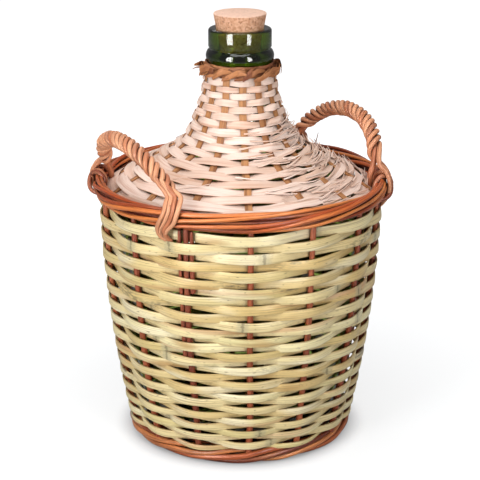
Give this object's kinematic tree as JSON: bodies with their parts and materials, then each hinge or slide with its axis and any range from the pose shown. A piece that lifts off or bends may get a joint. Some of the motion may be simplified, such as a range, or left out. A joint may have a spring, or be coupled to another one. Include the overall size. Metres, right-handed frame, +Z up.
{
  "type": "wicker covered demijohn",
  "caption": "Wide glass demijohn in a woven wicker basket with a woven shoulder cover, two wrapped bow handles and a cork stopper.",
  "frame": {"origin": "centre of the foot, on the surface that the basket stands on", "axes": "+Z up along the neck; the two handles stand over +X and -X"},
  "size_m": [0.2356, 0.2356, 0.345],
  "materials": {
    "green_glass": "clear dark green, polished",
    "cork": "granular natural cork",
    "straw_cane": "split cane, smooth skin side, satin",
    "stake_willow": "peeled brown willow",
    "rim_willow": "buff willow, satin",
    "foot_willow": "brown willow, worn",
    "handle_willow": "buff willow, satin",
    "pale_chip": "planed pale wood chip strip",
    "brown_splint": "raw brown splint",
    "collar_splint": "plaited brown splint"
  },
  "bodies": {
    "basket_and_bottle": {"glass_demijohn": "green_glass", "base_sticks_and_mat": "foot_willow", "foot_rods": "foot_willow", "wall_stakes": "stake_willow", "handle_root_side_rods": "stake_willow", "rim_rods": "rim_willow", "shoulder_splints": "brown_splint", "neck_collar": "collar_splint", "handle_bow_left": "handle_willow", "handle_wrap_left": "handle_willow", "handle_bow_right": "handle_willow", "handle_wrap_right": "handle_willow", "wall_strip_01": "straw_cane", "wall_strip_02": "straw_cane", "wall_strip_03": "straw_cane", "wall_strip_04": "straw_cane", "wall_strip_05": "straw_cane", "wall_strip_06": "straw_cane", "wall_strip_07": "straw_cane", "wall_strip_08": "straw_cane", "wall_strip_09": "straw_cane", "wall_strip_10": "straw_cane", "wall_strip_11": "straw_cane", "wall_strip_12": "straw_cane", "wall_strip_13": "straw_cane", "wall_strip_14": "straw_cane", "wall_strip_15": "straw_cane", "wall_strip_16": "straw_cane", "wall_strip_17": "straw_cane", "wall_strip_18": "straw_cane", "wall_strip_19": "straw_cane", "wall_strip_20": "straw_cane", "wall_strip_21": "straw_cane", "wall_strip_22": "straw_cane", "wall_strip_23": "straw_cane", "wall_strip_24": "straw_cane", "wall_strip_25": "straw_cane", "wall_strip_26": "straw_cane", "wall_strip_27": "straw_cane", "wall_strip_28": "straw_cane", "wall_strip_29": "straw_cane", "wall_strip_30": "straw_cane", "cover_strip_01": "pale_chip", "cover_strip_02": "pale_chip", "cover_strip_03": "pale_chip", "cover_strip_04": "pale_chip", "cover_strip_05": "pale_chip", "cover_strip_06": "pale_chip", "cover_strip_07": "pale_chip", "cover_strip_08": "pale_chip", "cover_strip_09": "pale_chip", "cover_strip_10": "pale_chip", "cover_strip_11": "pale_chip", "cover_strip_12": "pale_chip", "cover_strip_13": "pale_chip", "cover_strip_14": "pale_chip", "cover_strip_15": "pale_chip", "cover_strip_16": "pale_chip", "cover_strip_17": "pale_chip"},
    "stopper": {"cork_stopper": "cork"}
  },
  "joints": [
    {"name": "cork_lift", "type": "slide", "parent": "basket_and_bottle", "child": "stopper", "axis": [0, 0, 1], "range_m": [0, 0.06]}
  ]
}
